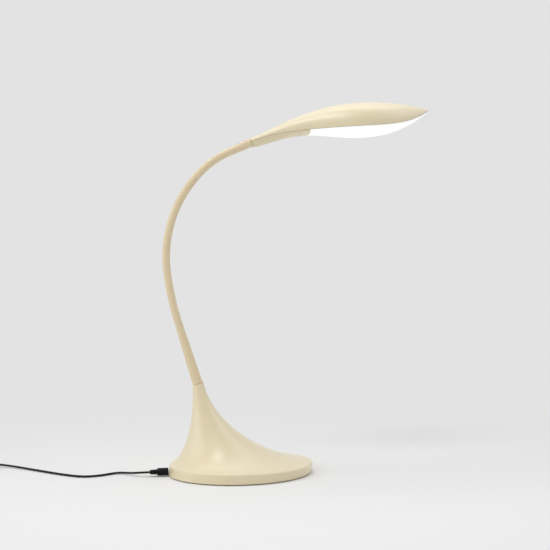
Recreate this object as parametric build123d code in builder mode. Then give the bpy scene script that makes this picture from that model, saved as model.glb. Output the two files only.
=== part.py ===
"""Desk lamp: oval base with a flared spout, sleeved gooseneck, leaf-shaped LED head and a low-voltage lead.

Millimetres. Z is up, X points from the base's middle towards the head, and Y = 0 is the lamp's middle plane.
The origin is the middle of the face that the lamp stands on.
"""

import math
import os

from build123d import *

os.makedirs("parts", exist_ok=True)

# Base rim, an oval wall that leans a little forward
rim_foot_a = 82.4
rim_foot_b = 65.9
rim_top_a = 83.4
rim_top_b = 66.7
rim_lean = 2.5
rim_top_z = 12.0
rim_edge_radius = 2.4
shell_foot_z = 0.9

# Flare from the rim to the spout, ovals whose size and place follow two power curves
flare_top_z = 112.0
flare_top_r = 6.2
flare_top_x = -49.2
flare_size_powers_shares = (0.685, 1.831)
flare_place_powers_shares = (0.665, 1.473)
flare_level_shares = (0.0, 0.01, 0.03, 0.07, 0.13, 0.22, 0.35, 0.5, 0.68, 0.85, 1.0)
hollow_level_shares = (0.0, 0.01, 0.03, 0.07, 0.13, 0.22, 0.35, 0.5, 0.66)
shell_wall = 1.9
deck_wall = 2.2
rim_wall = 2.4

# Base inside
pad_thickness = 1.2
pad_inset = 7.0
plate_thickness = 2.0
plate_play = 0.4
post_x = 48.0
post_y = 34.0
post_r = 3.5
post_pilot_r = 1.25
base_screw_r = 1.5
base_screw_head_r = 2.8
base_screw_length = 9.0
base_screw_hole_play = 0.2
ballast_a = 56.0
ballast_b = 42.0
ballast_x = 4.0
ballast_thickness = 5.4

# Power jack and driver board
jack_z = 4.9
jack_front_x = -78.2
jack_length = 13.0
jack_width = 9.0
jack_height = 7.4
jack_bore_r = 2.9
jack_bore_depth = 10.0
jack_pin_r = 1.0
jack_pin_length = 9.0
jack_hole_r = 3.2
plate_notch_width = 11.0
plate_notch_end_x = -64.0
board_rear_x = -74.0
board_length = 32.0
board_width = 22.0
board_thickness = 1.6
board_gap = 0.2
coil_part_r = 4.0
coil_part_height = 5.0
can_part_r = 3.0
can_part_height = 8.0
chip_length = 6.0
chip_width = 5.0
chip_height = 1.6
part_step_x = 9.0
part_step_y = 6.0

# Neck path: straight, three tangent bows, straight
neck_start_x = -49.0
neck_start_z = 104.0
neck_lean_deg = -17.64
neck_first_length = 71.8
neck_bow_radii = (345.0, 140.4, 97.3)
neck_bow_turns_deg = (9.8, 55.8, 17.2)
neck_last_length = 30.4

# Neck core, sleeve and lead
core_r = 3.3
core_bore_r = 1.7
knuckle_r = 3.6
knuckle_play = 0.1
knuckle_reach = 5.0
hinge_first = 24.0
hinge_pitch = 39.6
hinge_count = 8
core_sink = 12.0
sleeve_foot_r = 5.9
sleeve_r = 4.4
sleeve_head_r = 5.1
sleeve_bore_r = 3.45
sleeve_end_gap = 0.2
lead_r = 1.1
base_lead_rise_share = 0.3333
base_lead_bend = 24.0

# Neck fixing in the spout
bush_r = 4.5
bush_play = 0.1
bush_length = 38.0
bush_lead_r = 1.5
web_length = 28.0
nut_pocket_r = 7.7
nut_pocket_depth = 24.0
nut_flat = 12.0
nut_height = 4.0
nut_play = 0.1
washer_r = 7.0
washer_thickness = 0.8

# Head curves: rises above the neck's end, and half widths, spread evenly from the neck seam to the tip
head_seam_back = 0.2
head_length = 217.5
head_top_rises = (5.4, 23.3, 58.5, 50.6, 56.3, 46.1)
head_part_rises = (0.6, 19.4, 15.8, 19.5, 14.9, 44.8)
head_under_rises = (-6.1, -0.4, 31.6, 3.9, 2.8, 13.2, 43.5)
head_half_widths = (5.4, 7.0, 7.5, 20.0, 58.0, 36.0, 24.0, 1.2)
head_level_shares = (-0.02, 0.07, 0.15, 0.25, 0.37, 0.5, 0.63, 0.76, 0.87, 0.95, 1.0)
shell_hollow_shares = (0.13, 0.22, 0.33, 0.45, 0.58, 0.7, 0.82, 0.91)
cover_hollow_shares = (0.13, 0.18, 0.24, 0.295)
lens_hollow_shares = (0.335, 0.42, 0.52, 0.64, 0.75, 0.85, 0.91)
head_wall = 2.0
cover_wall = 1.8
lens_wall = 1.6
head_seam_gap = 0.3
hollow_skirt = 3.0
lens_rear_share = 0.306
lens_rear_lean_deg = 20.0

# Head inside
head_bush_r = 4.0
head_bush_length = 15.0
head_bush_floor = 2.0
head_bore_overrun = 4.8
head_lead_early = 3.2
led_lead_side = 6.5
led_lead_out = 2.0
led_lead_in = 7.0
led_lead_drop = 1.15
led_lead_bend = 2.2
plate_share = 0.593
plate_lift = 6.4
plate_rise = 19.0
spreader_reach_share = 0.23
spreader_width_share = 0.635
spreader_thickness = 1.5
led_board_end_margin = 3.0
led_board_side_margin = 2.0
led_board_thickness = 1.6
led_ring_end_margin = 10.0
led_ring_side_margin = 7.0
led_ring_count = 12
led_row_pitch_share = 0.2
led_row_count = 5
led_length = 3.5
led_width = 2.8
led_height = 0.8
mast_share = 0.54
mast_r = 3.0
mast_pilot_r = 1.0
mast_length = 40.0
board_screw_head_r = 2.3
board_screw_head_height = 1.4
board_screw_length = 9.0
board_screw_hole_r = 1.4
stem_screw_share = 0.262
stem_screw_r = 1.2
stem_screw_head_r = 2.3
stem_screw_length = 11.0
stem_screw_hole_r = 1.4
stem_post_r = 3.0
stem_post_up = 20.0
stem_cone_height = 1.1
stem_probe = 30.0

# Switch on top of the stem
switch_share = 0.185
switch_step_share = 0.01
button_r = 3.0
button_play = 0.15
button_proud = 0.35
button_height = 3.95
button_flange_gap = 0.1
button_flange_r = 3.8
button_flange_height = 0.8
button_flange_drop = 2.5
button_travel = 0.8
plunger_r = 1.5
plunger_length = 1.6
plunger_sink = 0.3
plunger_play = 0.08
tact_size = 6.0
tact_height = 3.2
tact_bore_depth = 2.2
switch_board_gap = 7.45
switch_board_width = 9.0
switch_board_thickness = 1.2
switch_post_r = 2.0
switch_post_length = 8.4
switch_pocket_r = 4.1
switch_pocket_depth = 14.0

# Low-voltage lead, its plug and its put-away coil
plug_gap = 0.4
plug_grip_r = 4.2
plug_grip_length = 12.6
plug_edge = 1.2
plug_tail_r = 2.5
plug_tail_length = 8.0
plug_rib_r = 3.2
plug_rib_width = 0.9
plug_rib_pitch = 1.9
plug_rib_count = 4
plug_rib_start = 0.9
plug_rib_taper = 0.22
barrel_r = 2.75
barrel_bore_r = 1.05
barrel_length = 9.5
cord_r = 1.2
cord_route = (
    (-103.0, 0.0, 4.9),
    (-112.5, 0.0, 4.9),
    (-124.0, 12.0, 2.2),
    (-138.5, 23.5, 1.25),
    (-158.0, 11.0, 1.25),
    (-178.0, 8.5, 1.25),
    (-200.0, 25.0, 1.25),
    (-226.0, 50.5, 1.25),
    (-252.0, 75.0, 1.6),
    (-273.0, 90.0, 2.45),
    (-292.0, 98.0, 2.45),
)
bend_leg_share = 0.45
coil_outer_r = 17.5
coil_pitch = 2.9
coil_rise = 2.9
coil_layer_half_turns = (6, 5, 5, 5)
coil_skip_share = 8
tail_run = 26.0
tie_gap = 0.5
tie_side_gap = 1.0
tie_thickness = 0.7
tie_width = 5.0
tie_corner = 2.0
usb_axis_z = 4.2
usb_tail_r = 2.4
usb_tail_length = 6.0
usb_grip_length = 24.0
usb_grip_width = 15.0
usb_grip_height = 7.6
usb_grip_corner = 2.0
usb_shell_length = 12.5
usb_shell_width = 12.0
usb_shell_height = 4.5
usb_shell_wall = 0.35
usb_shell_sink = 3.0
usb_tongue_width = 11.1
usb_tongue_height = 1.8
usb_tongue_length = 11.0


def neck_at(run):
    """Point, tangent and the in-plane normal of the neck's middle line at a length along it."""
    lean = math.radians(neck_lean_deg)
    place = (neck_start_x, neck_start_z)
    left = run
    if left > neck_first_length:
        place = (place[0] + neck_first_length * math.sin(lean), place[1] + neck_first_length * math.cos(lean))
        left -= neck_first_length
        for radius, turn in zip(neck_bow_radii, neck_bow_turns_deg):
            step = min(left, radius * math.radians(turn))
            after = lean + step / radius
            place = (
                place[0] + radius * (math.cos(lean) - math.cos(after)),
                place[1] + radius * (math.sin(after) - math.sin(lean)),
            )
            lean = after
            left -= step
            if left <= 0:
                break
    tangent = Vector(math.sin(lean), 0, math.cos(lean))
    normal = Vector(math.cos(lean), 0, -math.sin(lean))
    return Vector(place[0], 0, place[1]) + tangent * left, tangent, normal


neck_breaks = [neck_first_length]
for bow_radius, bow_turn in zip(neck_bow_radii, neck_bow_turns_deg):
    neck_breaks.append(neck_breaks[-1] + bow_radius * math.radians(bow_turn))
neck_length = neck_breaks[-1] + neck_last_length
neck_end, neck_end_way, _ = neck_at(neck_length)
hinge_runs = [hinge_first + hinge_pitch * i for i in range(hinge_count)]


def neck_lines(start, end):
    """Draws the neck's middle line between two lengths along it, as straights and arcs."""
    stops = [start] + [b for b in neck_breaks if start < b < end] + [end]
    for low, high in zip(stops, stops[1:]):
        first, last = neck_at(low)[0], neck_at(high)[0]
        if neck_breaks[0] <= low and high <= neck_breaks[-1]:
            ThreePointArc(first, neck_at((low + high) / 2)[0], last)
        else:
            Line(first, last)


def neck_plane(run):
    """Plane square to the neck at a length along it."""
    place, tangent, _ = neck_at(run)
    return Plane(origin=place, x_dir=(0, 1, 0), z_dir=tangent)


def hinge_plane(index):
    """Plane across a hinge of the core: its Z is the hinge's axis and its X runs on along the neck."""
    place, tangent, normal = neck_at(hinge_runs[index])
    axis = Vector(0, 1, 0) if index % 2 == 0 else normal
    return Plane(origin=place, x_dir=tangent, z_dir=axis)


def power_drop(level, powers):
    """Falls from 1 at the rim to 0 at the spout."""
    return (1 - level ** powers[0]) ** powers[1]


def flare_oval(level):
    """Height, place and half axes of the flare's outside at a level from 0 to 1."""
    size = power_drop(level, flare_size_powers_shares)
    place = power_drop(level, flare_place_powers_shares)
    half_x = flare_top_r + (rim_top_a - flare_top_r) * size
    half_y = half_x * (rim_top_b / rim_top_a + (1 - rim_top_b / rim_top_a) * level)
    middle = flare_top_x + (rim_lean - flare_top_x) * place
    return rim_top_z + (flare_top_z - rim_top_z) * level, middle, half_x, half_y


def rim_oval(height):
    """Place and half axes of the rim's outside at a height."""
    up = (height - shell_foot_z) / (rim_top_z - shell_foot_z)
    half_x = rim_foot_a + (rim_top_a - rim_foot_a) * up
    half_y = rim_foot_b + (rim_top_b - rim_foot_b) * up
    return rim_lean * up, half_x, half_y


def bezier(controls, share):
    """Value of a Bernstein curve with evenly spread controls."""
    order = len(controls) - 1
    weights = [math.comb(order, i) * share**i * (1 - share) ** (order - i) for i in range(order + 1)]
    return sum(weight * control for weight, control in zip(weights, controls))


def head_section(share):
    """X, half width, and the heights of the ridge, the parting line and the underside."""
    return (
        neck_end.X - head_seam_back + head_length * share,
        bezier(head_half_widths, share),
        neck_end.Z + bezier(head_top_rises, share),
        neck_end.Z + bezier(head_part_rises, share),
        neck_end.Z + bezier(head_under_rises, share),
    )


def upper_half(share, wall, skirt):
    """Sketches the head's section above the parting line, less a wall, with a skirt below it."""
    along, half, ridge, part, _ = head_section(share)
    half -= wall
    with BuildSketch(Plane(origin=(along, 0, part), x_dir=(0, 1, 0), z_dir=(1, 0, 0))) as section:
        with BuildLine():
            EllipticalCenterArc((0, 0), half, ridge - part - wall, start_angle=0, arc_size=180)
            if skirt:
                Polyline((-half, 0), (-half, -skirt), (half, -skirt), (half, 0))
            else:
                Line((-half, 0), (half, 0))
        make_face()
    return section.sketch.face()


def lower_half(share, wall, skirt):
    """Sketches the head's section below the parting line, less a wall, with a skirt above it."""
    along, half, _, part, under = head_section(share)
    half -= wall
    seam = part - head_seam_gap
    depth = seam - under - wall
    with BuildSketch(Plane(origin=(along, 0, seam), x_dir=(0, 1, 0), z_dir=(1, 0, 0))) as section:
        with BuildLine():
            EllipticalCenterArc((0, 0), half, depth, start_angle=180, arc_size=180)
            if skirt:
                Polyline((half, 0), (half, skirt), (-half, skirt), (-half, 0))
            else:
                Line((half, 0), (-half, 0))
        make_face()
    return section.sketch.face()


def unit(vector):
    return vector / vector.length


def biarc(start, start_way, end, end_way):
    """Two tangent arcs from one point and direction to another, each as start, middle and end points."""
    chord = end - start
    ways = start_way + end_way
    spread = 2 * (1 - start_way.dot(end_way))
    across = chord.dot(ways)
    square = chord.dot(chord)
    if spread < 1e-9:
        reach = square / (2 * across)
    else:
        reach = (-across + math.sqrt(across**2 + spread * square)) / spread
    first_corner = start + start_way * reach
    last_corner = end - end_way * reach
    joint = (first_corner + last_corner) / 2
    arcs = []
    for low, corner, high in ((start, first_corner, joint), (joint, last_corner, end)):
        side = (corner - low).length
        half_chord = (high - low).length / 2
        bow = math.sqrt(max(side**2 - half_chord**2, 0))
        radius = side * half_chord / bow
        middle = corner + unit((low + high) / 2 - corner) * (math.sqrt(radius**2 + side**2) - radius)
        arcs.append((low, middle, high))
    return arcs


def corner_radii(points):
    """Widest bend at each corner of a route that leaves room on its legs for the next corners."""
    legs = [high - low for low, high in zip(points, points[1:])]
    radii = []
    for low, high in zip(legs, legs[1:]):
        half_turn = math.acos(min(1, unit(low).dot(unit(high)))) / 2
        radii.append(bend_leg_share * min(low.length, high.length) / math.tan(half_turn))
    return radii


def turned(way, angle):
    """A level direction turned to the left by an angle in radians."""
    return Vector(
        way.X * math.cos(angle) - way.Y * math.sin(angle),
        way.X * math.sin(angle) + way.Y * math.cos(angle),
        0,
    )


# Base shell: rim, flare and spout outside, hollow inside, the web around the neck left solid
with BuildPart() as base_hollow:
    for hollow_z in (-shell_foot_z, rim_top_z - deck_wall):
        oval_x, oval_a, oval_b = rim_oval(hollow_z)
        with BuildSketch(Plane.XY.offset(hollow_z)):
            with Locations((oval_x, 0)):
                Ellipse(oval_a - rim_wall, oval_b - rim_wall)
    loft(ruled=True)
    for level_share in hollow_level_shares:
        oval_z, oval_x, oval_a, oval_b = flare_oval(level_share)
        with BuildSketch(Plane.XY.offset(oval_z - deck_wall)):
            with Locations((oval_x, 0)):
                Ellipse(oval_a - shell_wall, oval_b - shell_wall)
    loft()
    with BuildSketch(Plane.XY.offset(pad_thickness + plate_thickness)):
        with GridLocations(2 * post_x, 2 * post_y, 2, 2):
            Circle(post_r)
    extrude(amount=flare_top_z, mode=Mode.SUBTRACT)

with BuildPart() as base_shell:
    with BuildSketch(Plane.XY.offset(shell_foot_z)):
        Ellipse(rim_foot_a, rim_foot_b)
    with BuildSketch(Plane.XY.offset(rim_top_z)):
        with Locations((rim_lean, 0)):
            Ellipse(rim_top_a, rim_top_b)
    loft(ruled=True)
    for level_share in flare_level_shares:
        oval_z, oval_x, oval_a, oval_b = flare_oval(level_share)
        with BuildSketch(Plane.XY.offset(oval_z)):
            with Locations((oval_x, 0)):
                Ellipse(oval_a, oval_b)
    loft()
    rim_edges = [e for e in base_shell.edges() if abs(e.center().Z - rim_top_z) < rim_edge_radius / 2]
    fillet([e for e in rim_edges if e.bounding_box().size.Z < rim_edge_radius / 2], radius=rim_edge_radius)
    add(base_hollow.part, mode=Mode.SUBTRACT)
    with BuildSketch(neck_plane(0)):
        Rectangle(flare_top_z, flare_top_z)
    extrude(amount=flare_top_z, mode=Mode.SUBTRACT)
    with BuildSketch(neck_plane(-bush_length)):
        Circle(bush_r + bush_play)
    extrude(amount=bush_length, mode=Mode.SUBTRACT)
    with BuildSketch(neck_plane(-web_length - nut_pocket_depth)):
        Circle(nut_pocket_r)
    extrude(amount=nut_pocket_depth, mode=Mode.SUBTRACT)
    with BuildSketch(Plane.XY.offset(pad_thickness + plate_thickness)):
        with GridLocations(2 * post_x, 2 * post_y, 2, 2):
            Circle(post_pilot_r)
    extrude(amount=base_screw_length - plate_thickness, mode=Mode.SUBTRACT)
    with BuildSketch(Plane(origin=(jack_front_x, 0, jack_z), x_dir=(0, 1, 0), z_dir=(-1, 0, 0))):
        Circle(jack_hole_r)
    extrude(amount=rim_foot_a, mode=Mode.SUBTRACT)
base_shell.part.label = "base_shell"
export_step(base_shell.part, "parts/base_shell.step")

# Bottom cover with countersunk holes and a notch for the jack
plate_z = pad_thickness
plate_x, plate_a, plate_b = rim_oval(plate_z + plate_thickness / 2)
with BuildPart() as base_plate:
    with BuildSketch(Plane.XY.offset(plate_z)):
        with Locations((plate_x, 0)):
            Ellipse(plate_a - rim_wall - plate_play, plate_b - rim_wall - plate_play)
        with Locations((plate_notch_end_x - rim_foot_a / 2, 0)):
            Rectangle(rim_foot_a, plate_notch_width, mode=Mode.SUBTRACT)
    extrude(amount=plate_thickness)
    with Locations(Plane.XY.offset(plate_z)):
        with GridLocations(2 * post_x, 2 * post_y, 2, 2):
            Cylinder(
                base_screw_r + base_screw_hole_play,
                plate_thickness,
                align=(Align.CENTER, Align.CENTER, Align.MIN),
                mode=Mode.SUBTRACT,
            )
            Cone(
                base_screw_head_r + base_screw_hole_play,
                base_screw_r + base_screw_hole_play,
                base_screw_head_r - base_screw_r,
                align=(Align.CENTER, Align.CENTER, Align.MIN),
                mode=Mode.SUBTRACT,
            )
base_plate.part.label = "base_plate"
export_step(base_plate.part, "parts/base_plate.step")

with BuildPart() as anti_slip_pad:
    with BuildSketch(Plane.XY):
        Ellipse(rim_foot_a - pad_inset, rim_foot_b - pad_inset)
    extrude(amount=pad_thickness)
anti_slip_pad.part.label = "anti_slip_pad"
export_step(anti_slip_pad.part, "parts/anti_slip_pad.step")

with BuildPart() as base_screws:
    with Locations(Plane.XY.offset(plate_z)):
        with GridLocations(2 * post_x, 2 * post_y, 2, 2):
            Cone(
                base_screw_head_r,
                post_pilot_r,
                base_screw_head_r - post_pilot_r,
                align=(Align.CENTER, Align.CENTER, Align.MIN),
            )
            Cylinder(post_pilot_r, base_screw_length, align=(Align.CENTER, Align.CENTER, Align.MIN))
base_screws.part.label = "base_screws"
export_step(base_screws.part, "parts/base_screws.step")

ballast_z = plate_z + plate_thickness
with BuildPart() as ballast:
    with BuildSketch(Plane.XY.offset(ballast_z)):
        with Locations((ballast_x, 0)):
            Ellipse(ballast_a, ballast_b)
    extrude(amount=ballast_thickness)
ballast.part.label = "ballast"
export_step(ballast.part, "parts/ballast.step")

# Power jack, open to the rear, with its centre pin
with BuildPart() as power_jack:
    with BuildSketch(Plane(origin=(jack_front_x, 0, jack_z), x_dir=(0, 1, 0), z_dir=(1, 0, 0))):
        Rectangle(jack_width, jack_height)
    extrude(amount=jack_length)
    with BuildSketch(Plane(origin=(jack_front_x, 0, jack_z), x_dir=(0, 1, 0), z_dir=(1, 0, 0))):
        Circle(jack_bore_r)
    extrude(amount=jack_bore_depth, mode=Mode.SUBTRACT)
power_jack.part.label = "power_jack"
export_step(power_jack.part, "parts/power_jack.step")

jack_floor_x = jack_front_x + jack_bore_depth
with BuildPart() as jack_pin:
    with BuildSketch(Plane(origin=(jack_floor_x, 0, jack_z), x_dir=(0, 1, 0), z_dir=(-1, 0, 0))):
        Circle(jack_pin_r)
    extrude(amount=jack_pin_length)
    fillet(jack_pin.faces().sort_by(Axis.X)[0].edges(), radius=jack_pin_r / 2)
jack_pin.part.label = "jack_pin"
export_step(jack_pin.part, "parts/jack_pin.step")

board_z = jack_z + jack_height / 2 + board_gap
with BuildPart() as driver_board:
    with BuildSketch(Plane.XY.offset(board_z)):
        with Locations((board_rear_x + board_length / 2, 0)):
            Rectangle(board_length, board_width)
    extrude(amount=board_thickness)
driver_board.part.label = "driver_board"
export_step(driver_board.part, "parts/driver_board.step")

parts_z = board_z + board_thickness
parts_x = board_rear_x + board_length - part_step_x
with BuildPart() as board_parts:
    with BuildSketch(Plane.XY.offset(parts_z)):
        with Locations((parts_x, part_step_y)):
            Circle(coil_part_r)
    extrude(amount=coil_part_height)
    with BuildSketch(Plane.XY.offset(parts_z)):
        with Locations((parts_x, -part_step_y)):
            Circle(can_part_r)
    extrude(amount=can_part_height)
    with BuildSketch(Plane.XY.offset(parts_z)):
        with Locations((parts_x - part_step_x, 0)):
            Rectangle(chip_length, chip_width)
    extrude(amount=chip_height)
board_parts.part.label = "board_parts"
export_step(board_parts.part, "parts/board_parts.step")

# Threaded end of the gooseneck, clamped in the spout's web by a washer and a nut
with BuildPart() as neck_bush:
    with BuildSketch(neck_plane(-bush_length)):
        Circle(bush_r)
        Circle(bush_lead_r, mode=Mode.SUBTRACT)
    extrude(amount=bush_length)
    with BuildSketch(neck_plane(-core_sink)):
        Circle(core_r + bush_play)
    extrude(amount=core_sink, mode=Mode.SUBTRACT)
neck_bush.part.label = "neck_bush"
export_step(neck_bush.part, "parts/neck_bush.step")

with BuildPart() as neck_washer:
    with BuildSketch(neck_plane(-web_length - washer_thickness)):
        Circle(washer_r)
        Circle(bush_r + bush_play, mode=Mode.SUBTRACT)
    extrude(amount=washer_thickness)
neck_washer.part.label = "neck_washer"
export_step(neck_washer.part, "parts/neck_washer.step")

with BuildPart() as neck_nut:
    with BuildSketch(neck_plane(-web_length - washer_thickness - nut_height)):
        RegularPolygon(nut_flat / 2, 6, major_radius=False)
        Circle(bush_r + nut_play, mode=Mode.SUBTRACT)
    extrude(amount=nut_height)
neck_nut.part.label = "neck_nut"
export_step(neck_nut.part, "parts/neck_nut.step")

# Lead from the driver board up to the bush
lead_top, lead_way, _ = neck_at(-bush_length)
lead_foot = Vector(parts_x + part_step_x / 2, 0, parts_z)
lead_low = Vector(lead_foot.X, 0, (lead_foot.Z + lead_top.Z) * base_lead_rise_share)
lead_high = lead_top - lead_way * (lead_top.Z - lead_low.Z) / 2
with BuildPart() as base_lead:
    with BuildLine() as base_lead_path:
        FilletPolyline(lead_foot, lead_low, lead_high, lead_top, radius=base_lead_bend)
    with BuildSketch(Plane(origin=lead_foot, x_dir=(0, 1, 0), z_dir=(0, 0, 1))):
        Circle(lead_r)
    sweep(path=base_lead_path.wire())
base_lead.part.label = "base_lead"
export_step(base_lead.part, "parts/base_lead.step")

# Gooseneck core, wound steel in lengths that meet in round knuckles, the axes level and upright by turns
core_starts = [-core_sink] + hinge_runs
core_ends = hinge_runs + [neck_length + core_sink]
core_names = ["neck_core_base"] + [f"neck_core_{i}" for i in range(1, hinge_count)] + ["neck_core_head"]
for core_index, core_name in enumerate(core_names):
    core_start, core_end = core_starts[core_index], core_ends[core_index]
    with BuildPart() as neck_core:
        with BuildLine() as core_path:
            neck_lines(core_start, core_end)
            if core_index < hinge_count:
                Line(neck_at(core_end)[0], neck_at(core_end)[0] + neck_at(core_end)[1] * knuckle_reach)
        with BuildSketch(neck_plane(core_start)):
            Circle(core_r)
            Circle(core_bore_r, mode=Mode.SUBTRACT)
        sweep(path=core_path.wire())
        if core_index < hinge_count:
            with BuildSketch(hinge_plane(core_index)):
                with Locations((knuckle_reach, 0)):
                    Rectangle(2 * knuckle_reach, 2 * knuckle_reach)
                Circle(knuckle_r, mode=Mode.SUBTRACT)
            extrude(amount=knuckle_reach, both=True, mode=Mode.SUBTRACT)
        if core_index:
            with BuildSketch(hinge_plane(core_index - 1)):
                Circle(knuckle_r + knuckle_play)
            extrude(amount=knuckle_reach, both=True, mode=Mode.SUBTRACT)
    neck_core.part.label = core_name
    export_step(neck_core.part, f"parts/{core_name}.step")
    print(core_name, "volume", round(neck_core.part.volume, 1))

# Sleeve over the whole neck, thicker towards both ends
sleeve_end = neck_length - sleeve_end_gap
with BuildPart() as neck_sleeve:
    with BuildSketch(neck_plane(sleeve_end_gap)):
        Circle(sleeve_foot_r)
    with BuildSketch(neck_plane(neck_breaks[0])):
        Circle(sleeve_r)
    loft()
    with BuildLine() as sleeve_path:
        neck_lines(neck_breaks[0], neck_breaks[-1])
    with BuildSketch(neck_plane(neck_breaks[0])):
        Circle(sleeve_r)
    sweep(path=sleeve_path.wire())
    with BuildSketch(neck_plane(neck_breaks[-1])):
        Circle(sleeve_r)
    with BuildSketch(neck_plane(sleeve_end)):
        Circle(sleeve_head_r)
    loft()
    with BuildLine() as sleeve_bore_path:
        neck_lines(sleeve_end_gap, sleeve_end)
    with BuildSketch(neck_plane(sleeve_end_gap)):
        Circle(sleeve_bore_r)
    sweep(path=sleeve_bore_path.wire(), mode=Mode.SUBTRACT)
neck_sleeve.part.label = "neck_sleeve"
export_step(neck_sleeve.part, "parts/neck_sleeve.step")

neck_lead_end = neck_length + head_bush_length
with BuildPart() as neck_lead:
    with BuildLine() as neck_lead_path:
        neck_lines(-bush_length, neck_lead_end)
    with BuildSketch(neck_plane(-bush_length)):
        Circle(lead_r)
    sweep(path=neck_lead_path.wire())
neck_lead.part.label = "neck_lead"
export_step(neck_lead.part, "parts/neck_lead.step")

# Tilted plate inside the head that carries the light, its Z pointing up
plate_x_mid, plate_half, _, plate_part_z, _ = head_section(plate_share)
plate_plane = Plane(
    origin=(plate_x_mid, 0, plate_part_z + plate_lift),
    x_dir=(head_length, 0, plate_rise),
    z_dir=(-plate_rise, 0, head_length),
)
spreader_a = head_length * spreader_reach_share
spreader_b = plate_half * spreader_width_share
led_board_a = spreader_a - led_board_end_margin
led_board_b = spreader_b - led_board_side_margin
led_ring_a = led_board_a - led_ring_end_margin
led_ring_b = led_board_b - led_ring_side_margin
led_row_pitch = spreader_a * led_row_pitch_share
mast_x = spreader_a * mast_share

# Plane of the switch: on the ridge of the stem, its Z pointing out
switch_low = head_section(switch_share - switch_step_share)
switch_high = head_section(switch_share + switch_step_share)
switch_top = head_section(switch_share)
switch_slope = Vector(switch_high[0] - switch_low[0], 0, switch_high[2] - switch_low[2])
switch_plane = Plane(
    origin=(switch_top[0], 0, switch_top[2]),
    x_dir=switch_slope,
    z_dir=(-switch_slope.Z, 0, switch_slope.X),
)
button_floor = -button_height + button_proud
button_crown_r = switch_top[1] ** 2 / (switch_top[2] - switch_top[3])
tact_roof = button_floor - button_travel - plunger_sink
switch_board_floor = tact_roof - tact_height - switch_board_thickness
stem_screw_x, _, _, _, stem_screw_z = head_section(stem_screw_share)
switch_board_reach = stem_screw_x - switch_top[0] - stem_post_r - switch_board_gap
switch_board_length = 2 * switch_board_reach / switch_plane.x_dir.X
stem_reach = shell_hollow_shares[0] * head_length / neck_end_way.X

# Head shell: ridge, stem and leaf above the parting line
with BuildPart() as head_hollow:
    loft(sections=[upper_half(level, head_wall, hollow_skirt) for level in shell_hollow_shares])
    with BuildSketch(plate_plane.offset(spreader_thickness)):
        with GridLocations(2 * mast_x, 0, 2, 1):
            Circle(mast_r)
    extrude(amount=mast_length, mode=Mode.SUBTRACT)
    with BuildSketch(Plane.XY.offset(head_section(0)[3])):
        with Locations((stem_screw_x, 0)):
            Circle(stem_post_r)
    extrude(amount=mast_length + stem_post_up, mode=Mode.SUBTRACT)

with BuildPart() as head_shell:
    loft(sections=[upper_half(level, 0, 0) for level in head_level_shares])
    add(head_hollow.part, mode=Mode.SUBTRACT)
    with BuildSketch(neck_plane(neck_length)):
        Rectangle(head_length, head_length)
    extrude(amount=-head_length, mode=Mode.SUBTRACT)
    with BuildSketch(neck_plane(neck_length)):
        Circle(head_bush_r + bush_play)
    extrude(amount=head_bush_length + head_seam_gap, mode=Mode.SUBTRACT)
    with BuildSketch(neck_plane(neck_length)):
        Circle(bush_lead_r)
    extrude(amount=stem_reach + head_bore_overrun, mode=Mode.SUBTRACT)
    with BuildSketch(plate_plane.offset(spreader_thickness)):
        with GridLocations(2 * mast_x, 0, 2, 1):
            Circle(mast_pilot_r)
    extrude(amount=board_screw_length, mode=Mode.SUBTRACT)
    with BuildSketch(Plane.XY.offset(stem_screw_z)):
        with Locations((stem_screw_x, 0)):
            Circle(stem_screw_r)
    extrude(amount=stem_screw_length, mode=Mode.SUBTRACT)
    with BuildSketch(switch_plane.offset(button_proud)):
        Circle(button_r + button_play)
    extrude(amount=-switch_pocket_depth, mode=Mode.SUBTRACT)
    with BuildSketch(switch_plane.offset(-button_flange_drop + button_flange_gap)):
        Circle(switch_pocket_r)
    extrude(amount=-switch_pocket_depth, mode=Mode.SUBTRACT)
head_shell.part.label = "head_shell"
export_step(head_shell.part, "parts/head_shell.step")

# Stem cover below the seam, from the neck to the diffuser
lens_rear_x, _, _, lens_rear_z, _ = head_section(lens_rear_share)
lens_cut_way = Vector(1, 0, math.tan(math.radians(lens_rear_lean_deg)))
lens_cut = Plane(origin=(lens_rear_x, 0, lens_rear_z), x_dir=(0, 1, 0), z_dir=lens_cut_way)
with BuildPart() as cover_hollow:
    loft(sections=[lower_half(level, cover_wall, hollow_skirt) for level in cover_hollow_shares])
    with BuildSketch(Plane.XY.offset(head_section(0)[4])):
        with Locations((stem_screw_x, 0)):
            Circle(stem_post_r)
    extrude(amount=stem_probe, mode=Mode.SUBTRACT)

with BuildPart() as stem_cover:
    loft(sections=[lower_half(level, 0, 0) for level in head_level_shares])
    add(cover_hollow.part, mode=Mode.SUBTRACT)
    with BuildSketch(lens_cut):
        Rectangle(head_length, head_length)
    extrude(amount=head_length, mode=Mode.SUBTRACT)
    with BuildSketch(neck_plane(neck_length)):
        Rectangle(head_length, head_length)
    extrude(amount=-head_length, mode=Mode.SUBTRACT)
    with BuildSketch(neck_plane(neck_length)):
        Circle(head_bush_r + bush_play)
    extrude(amount=head_bush_length + head_seam_gap, mode=Mode.SUBTRACT)
    with BuildSketch(neck_plane(neck_length)):
        Circle(bush_lead_r)
    extrude(amount=stem_reach - head_lead_early, mode=Mode.SUBTRACT)
    with BuildSketch(switch_plane.offset(switch_board_floor)):
        Circle(switch_post_r)
    extrude(amount=-switch_post_length)
    with Locations((stem_screw_x, 0, stem_screw_z)):
        Cylinder(stem_screw_hole_r, stem_probe, mode=Mode.SUBTRACT)
        Cone(
            stem_screw_head_r + bush_play,
            stem_screw_hole_r,
            stem_cone_height,
            align=(Align.CENTER, Align.CENTER, Align.MIN),
            mode=Mode.SUBTRACT,
        )
stem_cover.part.label = "stem_cover"
export_step(stem_cover.part, "parts/stem_cover.step")

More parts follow.
